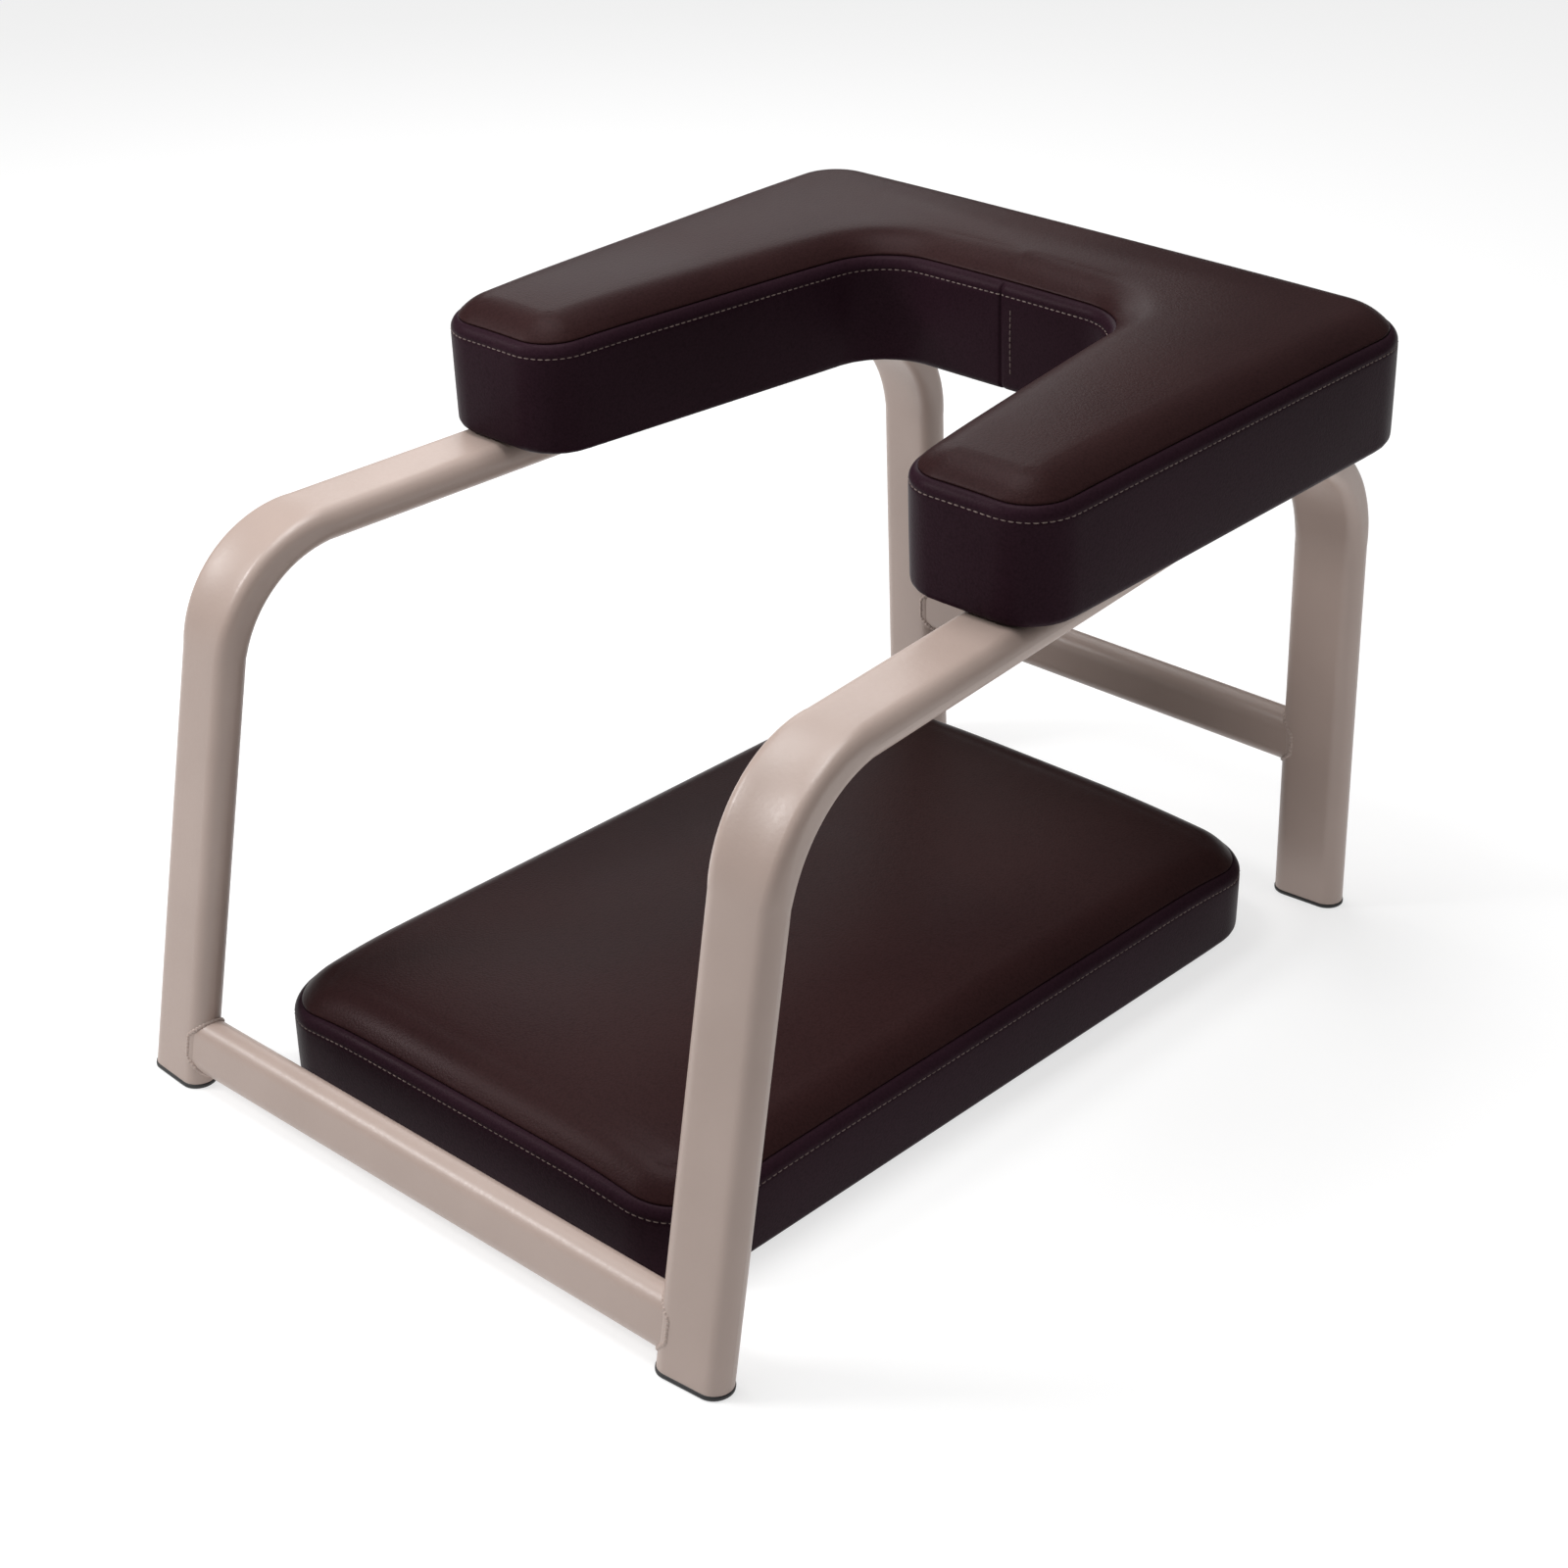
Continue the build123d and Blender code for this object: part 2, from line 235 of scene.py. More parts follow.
def toed_in(side, along, across):
    """X and Y from distances along and across a side frame, which toes in from its front foot."""
    turn = side * TOE_IN
    x = side * FRONT_HALF_SPACING - along * math.sin(turn) + across * math.cos(turn)
    y = FRONT_FOOT_Y + along * math.cos(turn) + across * math.sin(turn)
    return x, y


def side_frame_skin(side, inward):
    """One skin of a side frame: the tube's section carried along its centre line, with both ends cut
    level on the flanges of the foot plugs. inward is how far inside the outer face the skin lies."""
    line, ways, bends = bent_centre_line((0, 0), RAIL_CORNERS, (FOOT_SPAN, 0), BEND_RADII)
    shape = tube_section(
        TUBE_WIDTH - 2 * inward,
        TUBE_THICK - 2 * inward,
        TUBE_THICK / 2 - inward - BEND_SQUARING * bends,
        BEND_SINK * bends,
    )
    across, through = (np.broadcast_to(part, (len(line), part.shape[1])) for part in shape)
    u = line[:, :1] - through * ways[:, 1:]
    z = line[:, 1:] + through * ways[:, :1]
    for end, lean in ((0, FRONT_LEAN), (-1, REAR_LEAN)):
        drop = PLUG_FLANGE - z[end]
        u[end] = u[end] + lean * drop
        z[end] = PLUG_FLANGE
    return np.stack([*toed_in(side, u, across), z], axis=-1)


def mottle_group():
    """Node group: soft blotches and fine specks, each a cloud noise of its own scale over Object
    coordinates."""
    group = bpy.data.node_groups.new("mottle", "ShaderNodeTree")
    for name in ("Broad", "Fine"):
        group.interface.new_socket(name + " Scale", in_out="INPUT", socket_type="NodeSocketFloat")
        group.interface.new_socket(name, in_out="OUTPUT", socket_type="NodeSocketFloat")
    entry = group.nodes.new("NodeGroupInput")
    leave = group.nodes.new("NodeGroupOutput")
    place = group.nodes.new("ShaderNodeTexCoord")
    for name, detail in (("Broad", 3.0), ("Fine", 2.0)):
        cloud = group.nodes.new("ShaderNodeTexNoise")
        cloud.inputs["Detail"].default_value = detail
        group.links.new(place.outputs["Object"], cloud.inputs["Vector"])
        group.links.new(entry.outputs[name + " Scale"], cloud.inputs["Scale"])
        group.links.new(cloud.outputs["Fac"], leave.inputs[name])
    return group


MOTTLE = mottle_group()


def new_material(name):
    """Material with an empty Principled shader: returns it, its nodes, its links and the shader."""
    material = bpy.data.materials.new(name)
    material.use_nodes = True
    tree = material.node_tree
    return material, tree.nodes, tree.links, tree.nodes["Principled BSDF"]


def mottle(nodes_of, broad, fine):
    """A mottle group node with its two scales, in waves per metre."""
    node = nodes_of.new("ShaderNodeGroup")
    node.node_tree = MOTTLE
    set_inputs(node, {"Broad Scale": broad, "Fine Scale": fine})
    return node


def two_tone(nodes_of, links, mask, low, high, start=0.35, stop=0.65):
    """Colour that runs from low to high as a mask rises from start to stop."""
    ramp = nodes_of.new("ShaderNodeValToRGB")
    for element, position, colour in zip(ramp.color_ramp.elements, (start, stop), (low, high)):
        element.position = position
        element.color = (*colour, 1.0)
    links.new(mask, ramp.inputs["Fac"])
    return ramp.outputs["Color"]


def span(nodes_of, links, value, low, high, start=0.3, stop=0.7):
    """Number that runs from low to high as a value rises from start to stop."""
    node = nodes_of.new("ShaderNodeMapRange")
    set_inputs(node, {"From Min": start, "From Max": stop, "To Min": low, "To Max": high})
    links.new(value, node.inputs["Value"])
    return node.outputs["Result"]


def bump(nodes_of, links, height, depth, strength=1.0, under=None):
    """Bump of a given depth in metres, over another normal if one is given."""
    node = nodes_of.new("ShaderNodeBump")
    set_inputs(node, {"Distance": depth, "Strength": strength})
    links.new(height, node.inputs["Height"])
    if under is not None:
        links.new(under, node.inputs["Normal"])
    return node.outputs["Normal"]


def mottled_material(name, scales, low, high, smooth, rough, depth, tint_by="Broad", gloss_by="Fine"):
    """Material over one mottle of two scales: colour from low to high by one mask, roughness from
    smooth to rough by one mask, and the fine mask as bumps of a depth. Returns it, its nodes, links
    and shader, and the bumps."""
    material, made, links, shader = new_material(name)
    marks = mottle(made, *scales)
    links.new(two_tone(made, links, marks.outputs[tint_by], low, high), shader.inputs["Base Color"])
    if smooth == rough:
        shader.inputs["Roughness"].default_value = rough
    else:
        links.new(span(made, links, marks.outputs[gloss_by], smooth, rough), shader.inputs["Roughness"])
    bumps = bump(made, links, marks.outputs["Fine"], depth)
    links.new(bumps, shader.inputs["Normal"])
    return material, made, links, shader, bumps


def powder_coat():
    """Satin beige powder coat: even colour with slight clouding, orange-peel waves of 2 mm and a fine
    tooth."""
    material, made, links, shader, peel = mottled_material(
        "beige powder coat", (9.0, 420.0), (0.400, 0.308, 0.268), (0.440, 0.342, 0.300), 0.33, 0.43, 0.00007
    )
    tooth = mottle(made, 60.0, 2600.0)
    links.new(bump(made, links, tooth.outputs["Fine"], 0.000012, 1.0, peel), shader.inputs["Normal"])
    return material


POWDER_COAT = powder_coat()


def hollow_tube(name, outer, inner, stands_for):
    """Piece between an outer and an inner skin, each closed round the tube, joined at both ends."""
    walls = np.concatenate([outer, inner[::-1]])
    numbers = np.arange(walls.shape[0] * walls.shape[1]).reshape(walls.shape[:2])
    faces = facing_out(walls, grid_faces(numbers, closed_rows=True, closed_columns=True))
    made = piece_from(name, walls, faces, "frame", POWDER_COAT)
    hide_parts(stands_for)


for side, word in ((-1, "left"), (1, "right")):
    outer, inner = (side_frame_skin(side, inward) for inward in (0.0, TUBE_WALL))
    hollow_tube(f"{word}_frame_tube", outer, inner, f"{word}_side_frame")


# Crossbars -------------------------------------------------------------------------------
# Two straight lengths of the same kind of tube stand on edge between the legs, low in front
# and higher at the back. Their ends are notched to fit the legs' rounded edges.

BAR_HEIGHT = 0.0334


def leg_centre(side, rear, height):
    """Point on a leg's centre line at a height."""
    along = (FOOT_SPAN if rear else 0.0) + (REAR_LEAN if rear else FRONT_LEAN) * height
    return np.array([*toed_in(side, along, 0.0), height])


def bar_ends(rear, height, inward):
    """The section ring of a crossbar at its right end. Each point runs out to the half-round edge of
    the leg: half the leg's flat width, plus the chord of its edge circle at that depth, short of the
    leg's centre."""
    height_in, thick_in = BAR_HEIGHT - 2 * inward, TUBE_THICK - 2 * inward
    up, deep = (part[0] for part in tube_section(height_in, thick_in, TUBE_THICK / 2 - inward))
    lean = REAR_LEAN if rear else FRONT_LEAN
    scale = 1 / math.hypot(1.0, lean)
    chord = np.sqrt(np.maximum((TUBE_THICK / 2) ** 2 - deep ** 2, 0.0))
    centre = leg_centre(1, rear, height)
    x = centre[0] - (TUBE_WIDTH - TUBE_THICK) / 2 - chord
    y = centre[1] + (up * lean - deep) * scale
    z = centre[2] + (up + deep * lean) * scale
    return np.stack([x, y, z], axis=-1)


def crossbar_skin(rear, height, inward):
    """The end ring mirrored to the left and joined to the right by straight lines."""
    right = bar_ends(rear, height, inward)
    shares = np.array([-1.0, -0.97, -0.6, -0.2, 0.2, 0.6, 0.97, 1.0])[:, None]
    x = right[None, :, 0] * shares
    rest = np.broadcast_to(right[None, :, 1:], (len(shares), *right[:, 1:].shape))
    return np.concatenate([x[..., None], rest], axis=-1)


BAR_HEIGHTS = {}
for word, rear in (("front", False), ("rear", True)):
    low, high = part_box(f"{word}_crossbar")
    BAR_HEIGHTS[word] = (low.z + high.z) / 2
    outer, inner = (crossbar_skin(rear, BAR_HEIGHTS[word], inward) for inward in (0.0, TUBE_WALL))
    hollow_tube(f"{word}_cross_tube", outer, inner, f"{word}_crossbar")


# Weld beads ------------------------------------------------------------------------------
# Each end of each crossbar is welded all round with a small rippled bead, later coated with
# the rest of the frame.

BEAD_RADIUS = 0.0015
BEAD_RIPPLES = 46
BEAD_SWELL = 0.13
BEAD_POINTS = 276
BEAD_SIDES = 12


def lengths(path):
    """Distance of each point of a line from its first, along the line."""
    return np.concatenate([[0.0], np.cumsum(np.linalg.norm(np.diff(path, axis=0), axis=1))])


def read_along(table, length, at):
    """Rows of a table that belongs to a line, read at distances along it."""
    return np.stack([np.interp(at, length, table[:, k]) for k in range(3)], axis=-1)


def weld_bead(loop):
    """Closed tube round a loop; its radius swells and shrinks as a cosine of the distance along it."""
    ring = np.vstack([loop, loop[:1]])
    length = lengths(ring)
    centre = read_along(ring, length, np.arange(BEAD_POINTS) / BEAD_POINTS * length[-1])
    way = np.roll(centre, -1, axis=0) - np.roll(centre, 1, axis=0)
    way /= np.linalg.norm(way, axis=1)[:, None]
    out = centre - centre.mean(axis=0)
    out -= np.einsum("ij,ij->i", out, way)[:, None] * way
    out /= np.linalg.norm(out, axis=1)[:, None]
    aside = np.cross(way, out)
    angle = np.linspace(0, 2 * math.pi, BEAD_SIDES, endpoint=False)[None, :, None]
    phase = np.arange(BEAD_POINTS) / BEAD_POINTS * BEAD_RIPPLES * 2 * math.pi
    radius = (BEAD_RADIUS * (1 + BEAD_SWELL * np.cos(phase)))[:, None, None]
    return centre[:, None] + radius * (np.cos(angle) * out[:, None] + np.sin(angle) * aside[:, None])


for word, rear in (("front", False), ("rear", True)):
    loop = bar_ends(rear, BAR_HEIGHTS[word], 0.0)
    beads = [weld_bead(loop), weld_bead(loop * np.array([-1.0, 1.0, 1.0]))]
    bead_ids = np.arange(BEAD_POINTS * BEAD_SIDES).reshape(BEAD_POINTS, BEAD_SIDES)
    bead_faces = []
    for number, bead in enumerate(beads):
        faces = facing_out(bead, grid_faces(bead_ids, closed_rows=True, closed_columns=True))
        bead_faces.append(faces + number * bead_ids.size)
    points, faces = np.concatenate(beads), np.concatenate(bead_faces)
    made = piece_from(f"{word}_weld_beads", points, faces, "frame", POWDER_COAT)
    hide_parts(f"{word}_crossbar_welds")


# Foot plugs ------------------------------------------------------------------------------
# A black moulded plug is pushed into each open leg end. Three ribs grip the tube's inside,
# and a flat flange with softened edges carries the leg on the floor.

FLANGE_PROFILE = [
    (-0.0012, 0.0), (-0.0002, 0.00025), (0.0004, 0.0008), (0.0005, 0.0015), (0.0005, 0.0024),
    (0.0002, 0.0029), (-0.0004, 0.0030), (-0.0046, 0.0030),
]
RIB_PROFILE = [(-0.0046, 0.0060), (-0.0016, 0.0062), (-0.0016, 0.0078), (-0.0046, 0.0080)]
RIB_PITCH = 0.0070
ribs = [(grow, height + k * RIB_PITCH) for k in range(3) for grow, height in RIB_PROFILE]
PLUG_PROFILE = np.array([*FLANGE_PROFILE, *ribs, (-0.0046, 0.0242), (-0.0054, 0.0250)])


def foot_plug(side, rear):
    """The leg's section grown or shrunk by the profile's first number at the height of its second,
    leaning with the leg."""
    grow, height = PLUG_PROFILE[:, 0], PLUG_PROFILE[:, 1]
    across, through = tube_section(TUBE_WIDTH + 2 * grow, TUBE_THICK + 2 * grow, TUBE_THICK / 2 + grow)
    lean = REAR_LEAN if rear else FRONT_LEAN
    along = (FOOT_SPAN if rear else 0.0) + lean * height[:, None] + through * math.hypot(1.0, lean)
    x, y = toed_in(side, along, across)
    z = np.broadcast_to(height[:, None], x.shape)
    return np.stack([x, y, z], axis=-1)


def plug_plastic():
    """Black polyethylene with a fine moulded texture, a little greyer where it has been scuffed."""
    dark, worn = (0.012, 0.012, 0.013), (0.030, 0.029, 0.029)
    return mottled_material(
        "black plug plastic", (140.0, 1900.0), dark, worn, 0.42, 0.62, 0.00004, gloss_by="Broad"
    )[0]


PLUG_PLASTIC = plug_plastic()

for side, word in ((-1, "left"), (1, "right")):
    for rear, end in ((False, "front"), (True, "rear")):
        plug = foot_plug(side, rear)
        numbers = np.arange(plug.shape[0] * plug.shape[1]).reshape(plug.shape[:2])
        as_made = grid_faces(numbers, closed_columns=True)
        walls = facing_out(plug, as_made)
        flipped = not np.array_equal(walls, as_made)
        sole, crown = (numbers[0], numbers[-1][::-1]) if flipped else (numbers[0][::-1], numbers[-1])
        plug_faces = [*walls.tolist(), sole.tolist(), crown.tolist()]
        made = piece_from(f"{end}_{word}_plug", plug, plug_faces, "frame", PLUG_PLASTIC)
        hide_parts(f"{end}_{word}_foot_plug")


# Screws, washers, tee nuts and staples ---------------------------------------------------
# Bright zinc-plated steel. Four button-head screws come up through the rails into tee nuts in
# the cushion's board, and wire staples hold the covers under both boards.


def zinc_plate():
    """Zinc plate: bright metal dulled by a fine crystal grain, slightly yellow in patches."""
    material, _, _, shader, _ = mottled_material(
        "bright zinc plate", (160.0, 1500.0), (0.58, 0.59, 0.60), (0.66, 0.65, 0.60), 0.24, 0.42, 0.00001
    )
    shader.inputs["Metallic"].default_value = 1.0
    return material


def repaint(name, material):
    """Gives a kept CAD node one material."""
    node = nodes[name]
    node.data.materials.clear()
    node.data.materials.append(material)


ZINC_PLATE = zinc_plate()
for kept in ("cushion_bolts", "cushion_washers", "cushion_tee_nuts", "cushion_staples"):
    repaint(kept, ZINC_PLATE)
repaint("kneeling_pad_staples", ZINC_PLATE)


# Plywood boards --------------------------------------------------------------------------
# Birch plywood under each pad: nine or twelve millimetres, raw, with long face grain and thin
# dark glue lines on its edges. The U board lies on the sloping rails.

SEAT_TILT = math.atan((0.3220 - 0.3088) / ((0.58666 - 0.05994) * math.cos(TOE_IN)))


def darkened(nodes_of, links, colour, by, share):
    """Colour multiplied by another one, by a share of full strength."""
    node = nodes_of.new("ShaderNodeMix")
    node.data_type = "RGBA"
    node.blend_type = "MULTIPLY"
    node.inputs["Factor"].default_value = share
    links.new(colour, node.inputs["A"])
    links.new(by, node.inputs["B"])
    return node.outputs["Result"]


def plywood(name, tilt):
    """Face grain is noise stretched along Y; glue lines are a wave along the board's own height."""
    material, made, links, shader = new_material(name)
    place = made.new("ShaderNodeTexCoord")
    level = made.new("ShaderNodeMapping")
    level.inputs["Rotation"].default_value = (-tilt, 0.0, 0.0)
    links.new(place.outputs["Object"], level.inputs["Vector"])
    stretch = made.new("ShaderNodeMapping")
    stretch.inputs["Scale"].default_value = (1.0, 0.05, 1.0)
    links.new(level.outputs["Vector"], stretch.inputs["Vector"])
    grain = made.new("ShaderNodeTexNoise")
    set_inputs(grain, {"Scale": 260.0, "Detail": 5.0})
    links.new(stretch.outputs["Vector"], grain.inputs["Vector"])
    plies = made.new("ShaderNodeTexWave")
    plies.bands_direction = "Z"
    set_inputs(plies, {"Scale": 110.0, "Distortion": 0.4})
    links.new(level.outputs["Vector"], plies.inputs["Vector"])
    face = two_tone(made, links, grain.outputs["Fac"], (0.40, 0.26, 0.13), (0.66, 0.49, 0.29))
    striped = darkened(made, links, face, plies.outputs["Color"], 0.45)
    links.new(striped, shader.inputs["Base Color"])
    links.new(span(made, links, grain.outputs["Fac"], 0.55, 0.75), shader.inputs["Roughness"])
    links.new(bump(made, links, grain.outputs["Fac"], 0.00008), shader.inputs["Normal"])
    return material


repaint("cushion_board", plywood("birch plywood, sloping", SEAT_TILT))
repaint("kneeling_pad_board", plywood("birch plywood, level", 0.0))


# Pad outlines ----------------------------------------------------------------------------
# Both pads are boxed cushions: a board of the outline's shape, foam, a top panel and a side
# band sewn together along one seam. The upper one is U shaped, the floor one a rounded slab.


def outline(corners, radii, counts, gathered=None):
    """Closed outline of straight sides joined by tangent arcs, counter-clockwise. Side i runs from
    the middle of corner i's arc to the middle of the next one and gets counts[i] evenly spaced
    points; on the gathered side they crowd towards the middle. Returns points, outward normals and
    curvature (1 on an arc, 0 on a run)."""
    knots = [np.array(p, float) for p in corners]
    many = len(knots)
    heads = [np.arctan2(*(knots[(i + 1) % many] - knots[i])[::-1]) for i in range(many)]
    turns = [(heads[i] - heads[i - 1] + math.pi) % (2 * math.pi) - math.pi for i in range(many)]
    points, normals, bent = [], [], []
    for i in range(many):
        j = (i + 1) % many
        run = np.array([math.cos(heads[i]), math.sin(heads[i])])
        cuts = [radii[k] * math.tan(abs(turns[k]) / 2) for k in (i, j)]
        straight = np.linalg.norm(knots[j] - knots[i]) - sum(cuts)
        half = [radii[k] * abs(turns[k]) / 2 for k in (i, j)]
        share = np.arange(counts[i]) / counts[i]
        if i == gathered:
            share = share + 0.85 / (2 * math.pi) * np.sin(2 * math.pi * share)
        at = share * (half[0] + straight + half[1])
        into = np.maximum(half[0] - at, 0.0)
        over = np.maximum(at - half[0] - straight, 0.0)
        heading = heads[i] - np.sign(turns[i]) * into / radii[i] + np.sign(turns[j]) * over / radii[j]
        normal = np.stack([np.sin(heading), -np.cos(heading)], axis=-1)
        flat_normal = np.array([run[1], -run[0]])
        first = knots[i] + run * cuts[0]
        place = first + run * np.clip(at - half[0], 0.0, straight)[:, None]
        for amount, k in ((into, i), (over, j)):
            swing = np.sign(turns[k]) * radii[k] * (normal - flat_normal)
            place = place + np.where(amount[:, None] > 0, swing, 0.0)
        points.append(place)
        normals.append(normal)
        bent.append(np.where((into > 0) | (over > 0), 1.0, 0.0))
    return np.concatenate(points), np.concatenate(normals), np.concatenate(bent)


def blurred(values, width):
    """Values round a closed loop, averaged with a bell-shaped window of that many neighbours."""
    offsets = np.arange(-3 * width, 3 * width + 1)
    weights = np.exp(-0.5 * (offsets / width) ** 2)
    weights /= weights.sum()
    return sum(w * np.roll(values, k, axis=-1) for w, k in zip(weights, offsets))


class Pad:
    """The outline of one pad and how its flat faces are filled: four of the outline's points are the
    corners of a grid, whose inside is blended from its four edges."""

    def __init__(self, corners, radii, counts, grid_corners, gathered=None):
        self.points, self.normals, bent = outline(corners, radii, counts, gathered)
        self.count = len(self.points)
        self.corner = np.clip(blurred(bent, 6), 0.0, 1.0)
        starts = np.concatenate([[0], np.cumsum(counts)])
        a, b, c, d = (starts[k] for k in grid_corners)
        ring = np.arange(2 * self.count) % self.count
        self.edges = ring[a:b + 1], ring[b:c + 1], ring[c:d + 1][::-1], ring[d:a + self.count + 1][::-1]

    def ring(self, inset):
        """The outline moved inwards by a distance, or by one distance per point."""
        return self.points - self.normals * np.reshape(inset, (-1, 1))

    def fill(self, ring):
        """Inside points of the grid whose edges are on a ring: left and right edges blended, plus near
        and far edges blended, less the four corners blended."""
        near, right, far, left = (ring[e] for e in self.edges)
        u = np.linspace(0, 1, len(right))[:, None, None]
        v = np.linspace(0, 1, len(near))[None, :, None]
        blend = (1 - v) * left[:, None] + v * right[:, None] + (1 - u) * near[None] + u * far[None]
        blend = blend - (1 - u) * (1 - v) * near[0] - (1 - u) * v * near[-1]
        blend = blend - u * (1 - v) * far[0] - u * v * far[-1]
        return blend[1:-1, 1:-1]

    def fill_faces(self, ring_ids, first_id):
        """Faces of that grid, given the ring's vertex numbers and the number of its first inside
        vertex."""
        near, right, far, left = (ring_ids[e] for e in self.edges)
        table = np.zeros((len(right), len(near)), int)
        inside = (len(right) - 2) * (len(near) - 2)
        table[1:-1, 1:-1] = first_id + np.arange(inside).reshape(len(right) - 2, len(near) - 2)
        table[0], table[-1], table[:, 0], table[:, -1] = near, far, left, right
        return grid_faces(table)

    def shell(self, insets, heights, top=None, bottom=None):
        """Rings stacked from first to last, closed by a filled grid above the last ring and under the
        first one where their inside heights are given. Returns points and faces."""
        level = [np.broadcast_to(h, self.count) for h in heights]
        rings = [np.column_stack([self.ring(i), h]) for i, h in zip(insets, level)]
        ids = np.arange(len(rings) * self.count).reshape(len(rings), self.count)
        points, faces = [np.concatenate(rings)], [grid_faces(ids, closed_columns=True)]
        total = len(points[0])
        for height, row, order in ((bottom, 0, -1), (top, -1, 1)):
            if height is not None:
                inside = self.fill(rings[row][:, :2])
                lift = np.broadcast_to(height, inside.shape[:2])[..., None]
                points.append(np.concatenate([inside, lift], axis=-1).reshape(-1, 3))
                faces.append(self.fill_faces(ids[row], total)[:, ::order])
                total += len(points[-1])
        return np.concatenate(points), np.concatenate(faces)


U_HALF_WIDTH = 0.2225
U_FRONT = -0.064
U_BACK = 0.2775
U_THROAT = 0.177
U_CORNERS = [
    (0.125, U_FRONT), (U_HALF_WIDTH, U_FRONT), (U_HALF_WIDTH, U_BACK), (-U_HALF_WIDTH, U_BACK),
    (-U_HALF_WIDTH, U_FRONT), (-0.125, U_FRONT), (-0.090, U_THROAT), (0.090, U_THROAT),
]
U_RADII = (0.031, 0.031, 0.042, 0.042, 0.031, 0.031, 0.036, 0.036)
U_COUNTS = (26, 74, 62, 74, 26, 74, 62, 74)
cushion = Pad(U_CORNERS, U_RADII, U_COUNTS, (0, 1, 4, 5), gathered=6)

pad_low, pad_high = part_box("kneeling_pad_boxing")
SLAB_CORNERS = [
    (pad_low.x, pad_low.y), (pad_high.x, pad_low.y), (pad_high.x, pad_high.y), (pad_low.x, pad_high.y),
]
SLAB_RADII = (0.040,) * 4
SLAB_COUNTS = (84, 124, 84, 124)
slab = Pad(SLAB_CORNERS, SLAB_RADII, SLAB_COUNTS, (0, 1, 2, 3), gathered=2)


# Stuffing --------------------------------------------------------------------------------
# The foam pushes the sewn cover out between the seam and the board. That shape is found by
# blowing up the cover as cloth with its seam and board held still, and keeping its bulge.

SIM_WALLS = 12
SIM_FOOT = 0.002
SIM_CROWN = np.array([0.005, 0.010, 0.015, 0.020, 0.024])
SIM_STEPS = 20
SIM_PRESSURE = 4.0
LARGEST_MOVE = 0.012
CROWN_EVENINGS = 320


def evened(values, points, faces, held, times):
    """Values at a mesh's points, each moved halfway to the mean of its neighbours a number of times,
    the nearer ones counting more, by one over their distance. The first held points keep their
    values."""
    ends = np.stack([faces, np.roll(faces, -1, axis=1)], axis=-1).reshape(-1, 2)
    ends = np.concatenate([ends, ends[:, ::-1]])
    far = np.linalg.norm(points[ends[:, 0], :2] - points[ends[:, 1], :2], axis=1)
    weight = 1 / np.maximum(far, 0.0002)
    total = np.bincount(ends[:, 0], weights=weight, minlength=len(values))
    values = values.copy()
    for _ in range(times):
        mean = np.bincount(ends[:, 0], weights=weight * values[ends[:, 1]], minlength=len(values)) / total
        values[held:] = (values[held:] + mean[held:]) / 2
    return values


def blown_up(pad, seam, first_rise):
    """Bulge of a cover under pressure: Cloth without gravity on a closed shell of walls, seam and a top
    that starts slightly raised, with the board and the seam held. Moves level off at the largest one
    by a hyperbolic tangent, and the top's are evened. Returns the outward move of the wall rings and
    the upward moves of the top's rings and of its inside."""
    insets = np.concatenate([np.zeros(SIM_WALLS), SIM_CROWN])
    levels = np.linspace(SIM_FOOT, seam, SIM_WALLS)
    curve = np.sin(np.minimum(SIM_CROWN / 0.012, 1.0) * math.pi / 2)
    heights = np.concatenate([levels, seam + first_rise * curve])
    start, faces = pad.shell(insets, heights, top=heights[-1], bottom=SIM_FOOT)
    mesh = bpy.data.meshes.new("bladder")
    mesh.from_pydata(start.tolist(), [], faces.tolist())
    bladder = in_scene("bladder", mesh)
    rings = len(insets) * pad.count
    inside = (len(start) - rings) // 2
    held = bladder.vertex_groups.new(name="held")
    ids = np.arange(len(start))
    on_board = (ids < pad.count) | ((ids >= rings) & (ids < rings + inside))
    on_seam = (ids >= (SIM_WALLS - 1) * pad.count) & (ids < SIM_WALLS * pad.count)
    held.add(ids[on_board | on_seam].tolist(), 1.0, "REPLACE")
    cloth = bladder.modifiers.new("cloth", "CLOTH")
    rules = cloth.settings
    rules.vertex_group_mass = "held"
    rules.use_pressure = True
    rules.uniform_pressure_force = SIM_PRESSURE
    rules.quality = 6
    rules.mass = 0.4
    rules.tension_stiffness = 30.0
    rules.compression_stiffness = 30.0
    rules.bending_stiffness = 1.5
    rules.effector_weights.gravity = 0.0
    for step in range(1, SIM_STEPS + 1):
        bpy.context.scene.frame_set(step)
    settled = bladder.evaluated_get(bpy.context.evaluated_depsgraph_get())
    end = np.empty(len(start) * 3)
    settled.data.vertices.foreach_get("co", end)
    bpy.context.scene.frame_set(1)
    bpy.data.objects.remove(bladder)
    move = end.reshape(-1, 3) - start
    length = np.linalg.norm(move, axis=1)[:, None]
    move = move * np.tanh(length / LARGEST_MOVE) * LARGEST_MOVE / np.maximum(length, 1e-9)
    table = move[:rings].reshape(len(insets), pad.count, 3)
    wall_out = np.einsum("rcx,cx->rc", table[:SIM_WALLS, :, :2], pad.normals)
    move[:, 2] = evened(move[:, 2], start, faces, SIM_WALLS * pad.count, CROWN_EVENINGS)
    top_rings = np.vstack([np.zeros(pad.count), table[SIM_WALLS:, :, 2]])
    top_inside = move[rings + inside:, 2].reshape(len(pad.edges[1]) - 2, len(pad.edges[0]) - 2)
    return wall_out, top_rings, top_inside


# Covers ----------------------------------------------------------------------------------
# Dark brown leather cloth. The top panel and the side band are sewn together inside out, so
# both roll into the seam; a topstitch runs below it, and the band is stapled under the board.

